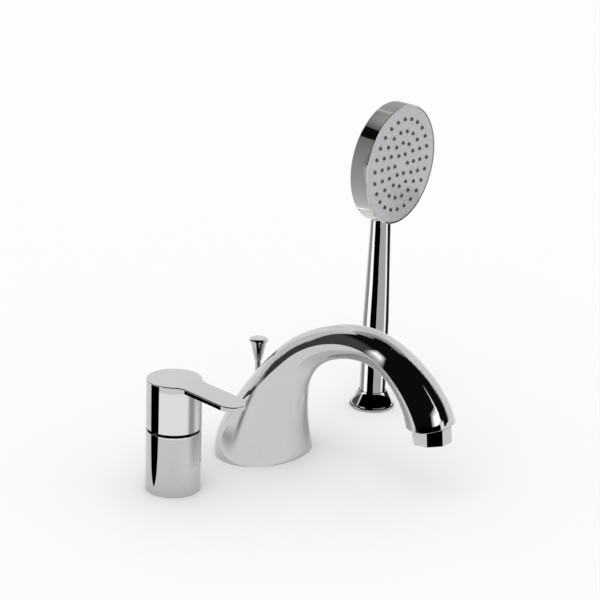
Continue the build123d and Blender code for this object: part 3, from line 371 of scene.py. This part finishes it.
def card_material(name, strength, feather, reach):
    """Light or black finish with soft edges, seen from its front, by rays shorter than its reach."""
    material = bpy.data.materials.new(name)
    material.use_nodes = True
    tree = material.node_tree
    tree.nodes.clear()
    output = tree.nodes.new("ShaderNodeOutputMaterial")
    glow = tree.nodes.new("ShaderNodeEmission")
    clear = tree.nodes.new("ShaderNodeBsdfTransparent")
    uv = tree.nodes.new("ShaderNodeUVMap")
    parts = tree.nodes.new("ShaderNodeSeparateXYZ")
    tree.links.new(uv.outputs["UV"], parts.inputs["Vector"])
    level = range_node(tree, parts.outputs["Y"], *strength, 0.0, 1.0)
    tree.links.new(level.outputs["Result"], glow.inputs["Strength"])
    geometry = tree.nodes.new("ShaderNodeNewGeometry")
    mask = range_node(tree, geometry.outputs["Backfacing"], 1.0, 0.0, 0.0, 1.0).outputs["Result"]
    for axis, outside, inside in (
        ("X", 0.0, feather.start),
        ("X", 1.0, 1.0 - feather.end),
        ("Y", 0.0, feather.bottom),
        ("Y", 1.0, 1.0 - feather.top),
    ):
        edge = range_node(tree, parts.outputs[axis], 0.0, 1.0, outside, inside)
        mask = product_node(tree, mask, edge.outputs["Result"])
    if reach:
        rays = tree.nodes.new("ShaderNodeLightPath")
        near = tree.nodes.new("ShaderNodeMath")
        near.operation = "LESS_THAN"
        near.inputs[1].default_value = reach
        tree.links.new(rays.outputs["Ray Length"], near.inputs[0])
        mask = product_node(tree, mask, near.outputs["Value"])
    mixed = tree.nodes.new("ShaderNodeMixShader")
    tree.links.new(mask, mixed.inputs["Fac"])
    tree.links.new(clear.outputs["BSDF"], mixed.inputs[1])
    tree.links.new(glow.outputs["Emission"], mixed.inputs[2])
    tree.links.new(mixed.outputs["Shader"], output.inputs["Surface"])
    return material


def grid_card(name, rows, strength, feather=Feather(), reach=None):
    """Card through rows of points, from its bottom to its top, that only reflections see."""
    columns = len(rows[0])
    points = [point for row in rows for point in row]
    faces = []
    for row in range(len(rows) - 1):
        for column in range(columns - 1):
            corner = row * columns + column
            faces.append((corner + 1, corner, corner + columns, corner + columns + 1))
    mesh = bpy.data.meshes.new(name)
    mesh.from_pydata(points, [], faces)
    layer = mesh.uv_layers.new(name="UVMap")
    for loop in mesh.loops:
        row, column = divmod(loop.vertex_index, columns)
        layer.data[loop.index].uv = (column / (columns - 1), row / (len(rows) - 1))
    levels = strength if isinstance(strength, tuple) else (strength, strength)
    mesh.materials.append(card_material(name, levels, feather, reach))
    card = bpy.data.objects.new(name, mesh)
    bpy.context.scene.collection.objects.link(card)
    card.visible_camera = False
    card.visible_diffuse = False
    card.visible_transmission = False
    card.visible_volume_scatter = False
    card.visible_shadow = False


def arc_row(centre, radius, azimuths, height):
    """Points along an arc at one height."""
    low, high = azimuths
    steps = [low + (high - low) * column / CARD_COLUMNS for column in range(CARD_COLUMNS + 1)]
    angles = [radians(step) for step in steps]
    return [(centre[0] + radius * cos(angle), centre[1] + radius * sin(angle), height) for angle in angles]


def arc_card(name, centre, radius, azimuths, heights, strength, feather, reach=None, top_azimuths=None):
    """Upright curved card round a centre, facing it."""
    bottom, top = heights
    rows = [
        arc_row(centre, radius, azimuths, bottom),
        arc_row(centre, radius, top_azimuths or azimuths, top),
    ]
    grid_card(name, rows, strength, feather, reach)


def room_card(card):
    """Card on the studio's round wall, or a little nearer or further."""
    radius = card.distance * ROOM_RADIUS
    heights = [ROOM_EYE_HEIGHT + radius * tan(radians(elevation)) for elevation in card.elevations]
    arc_card(
        card.name, ROOM_CENTRE, radius, card.azimuths, heights, card.strength, card.feather,
        top_azimuths=card.top_azimuths)


def dark_dome():
    """Black cloth round and over the set."""
    rows = []
    for elevation in range(0, 90 + 1, DOME_STEP):
        angle = radians(elevation)
        height = ROOM_EYE_HEIGHT + DOME_RADIUS * sin(angle)
        rows.append(arc_row(ROOM_CENTRE, DOME_RADIUS * cos(angle), (0, 360), height))
    grid_card("dark_dome", rows, DARK_ROOM)


def build_room():
    """The studio as the chrome shows it: a white sweep behind, softboxes, and black elsewhere."""
    dark_dome()
    for card in SWEEP_CARDS:
        room_card(card)
    arc_card(
        "ceiling", ROOM_CENTRE, CEILING_RADIUS, CEILING_AZIMUTHS, CEILING_HEIGHTS, CEILING_STRENGTH,
        CEILING_FEATHER)
    for card in SIDE_CARDS:
        room_card(card)


def card_azimuth(reflected, camera_azimuth, cylinder):
    """Where on a round card the reflection in its cylinder lands, if it leaves towards an azimuth."""
    tilt = radians(camera_azimuth - reflected) / 2
    return reflected + degrees(asin(cylinder.radius * sin(tilt) / cylinder.card_radius))


def round_row(cylinder, edges, height):
    """Row of a card round an upright cylinder, where the camera's rays that it reflects come to."""
    camera = bpy.context.scene.camera.matrix_world.translation
    camera_direction = Vector((camera.x - cylinder.x, camera.y))
    camera_azimuth = degrees(camera_direction.angle_signed(Vector((1.0, 0.0)))) % 360
    span = [card_azimuth(edge, camera_azimuth, cylinder) for edge in edges]
    return arc_row((cylinder.x, 0.0), cylinder.card_radius, span, height)


def build_tube_cards():
    """Strips round the shower's tube, upright at first and then turning to their high edges."""
    for name, low, high, strength in TUBE_STRIPES:
        rows = [round_row(TUBE, edges, height) for edges, height in zip((low, low, high), TUBE_CARD_HEIGHTS)]
        grid_card(f"tube_{name}", rows, strength, TUBE_FEATHER, TUBE_CARD_REACH)


def build_knob_card():
    """Black card close in front of the diverter's knob."""
    arc_card(
        "knob_flag", DIVERTER, KNOB_CARD_RADIUS, KNOB_CARD_AZIMUTHS, KNOB_CARD_HEIGHTS, BLACK,
        KNOB_FEATHER, KNOB_CARD_REACH)


def build_socket_cards():
    """Cards close round the shower's cone."""
    for name, azimuths, strength in SOCKET_CARDS:
        arc_card(
            f"socket_{name}", (SHOWER_X, 0.0), SOCKET_CARD_RADIUS, azimuths, SOCKET_CARD_HEIGHTS, strength,
            SOCKET_FEATHER, SOCKET_CARD_REACH)


def build_outlet_card():
    """Black card close in front of the aerator."""
    arc_card(
        "outlet_flag", OUTLET, OUTLET_CARD_RADIUS, OUTLET_CARD_AZIMUTHS, OUTLET_CARD_HEIGHTS, BLACK,
        OUTLET_FEATHER, OUTLET_CARD_REACH)


def build_valve_cards():
    """Black wedge lying on the floor behind the valve, and the cards round the valve."""
    apex_row = [(*WEDGE_APEX, CARD_LIFT)] * (CARD_COLUMNS + 1)
    far_row = arc_row(WEDGE_APEX, WEDGE_LENGTH, WEDGE_AZIMUTHS, CARD_LIFT)
    grid_card("valve_wedge", [far_row, apex_row], BLACK)
    for name, edges, heights, strength, feather, reach in VALVE_CARDS:
        rows = [round_row(VALVE, edges, height) for height in heights]
        grid_card(f"valve_{name}", rows, strength, feather, reach)


def screen_card(name, x, span, heights, strength, feather):
    """Upright card across the row, facing +X where its Y falls from start to end, or else -X."""
    rows = [[(x, y, height) for y in span] for height in heights]
    grid_card(name, rows, strength, feather)


def floor_card(name, width, depth, height, strength, feather):
    """Card lying on the floor, with its bottom row at the back."""
    rows = [[(x, y, height) for x in width] for y in depth]
    grid_card(name, rows, strength, feather)


def build_spout_cards():
    """What the spout mirrors: screens on the valve's side, cards on the floor, and one by the shower."""
    for screen in SCREENS:
        screen_card(*screen)
    for card in FLOOR_CARDS:
        floor_card(*card)
    screen_card(*SHOWER_SCREEN)


def build_head_cards():
    """Graded cards beside the shower head's rim and over it, and a grey one behind it."""
    for name, azimuths, heights, strength, feather in HEAD_CARDS:
        arc_card(
            f"head_{name}", HEAD_CARD_CENTRE, HEAD_CARD_RADIUS, azimuths, heights, strength, feather,
            HEAD_CARD_REACH)


def build_sun():
    """Wide soft sun from above and to the left of the camera, kept out of the reflections."""
    data = bpy.data.lights.new("key", "SUN")
    data.energy = SUN_SHARE * pi / SUN_DIRECTION.z
    data.angle = radians(SUN_SPREAD)
    key = bpy.data.objects.new("key", data)
    key.rotation_euler = SUN_DIRECTION.to_track_quat("Z", "Y").to_euler()
    key.visible_glossy = False
    bpy.context.scene.collection.objects.link(key)


place_camera()
dress_nodes()
build_floor()
build_world()
build_room()
build_tube_cards()
build_knob_card()
build_socket_cards()
build_outlet_card()
build_valve_cards()
build_spout_cards()
build_head_cards()
build_sun()
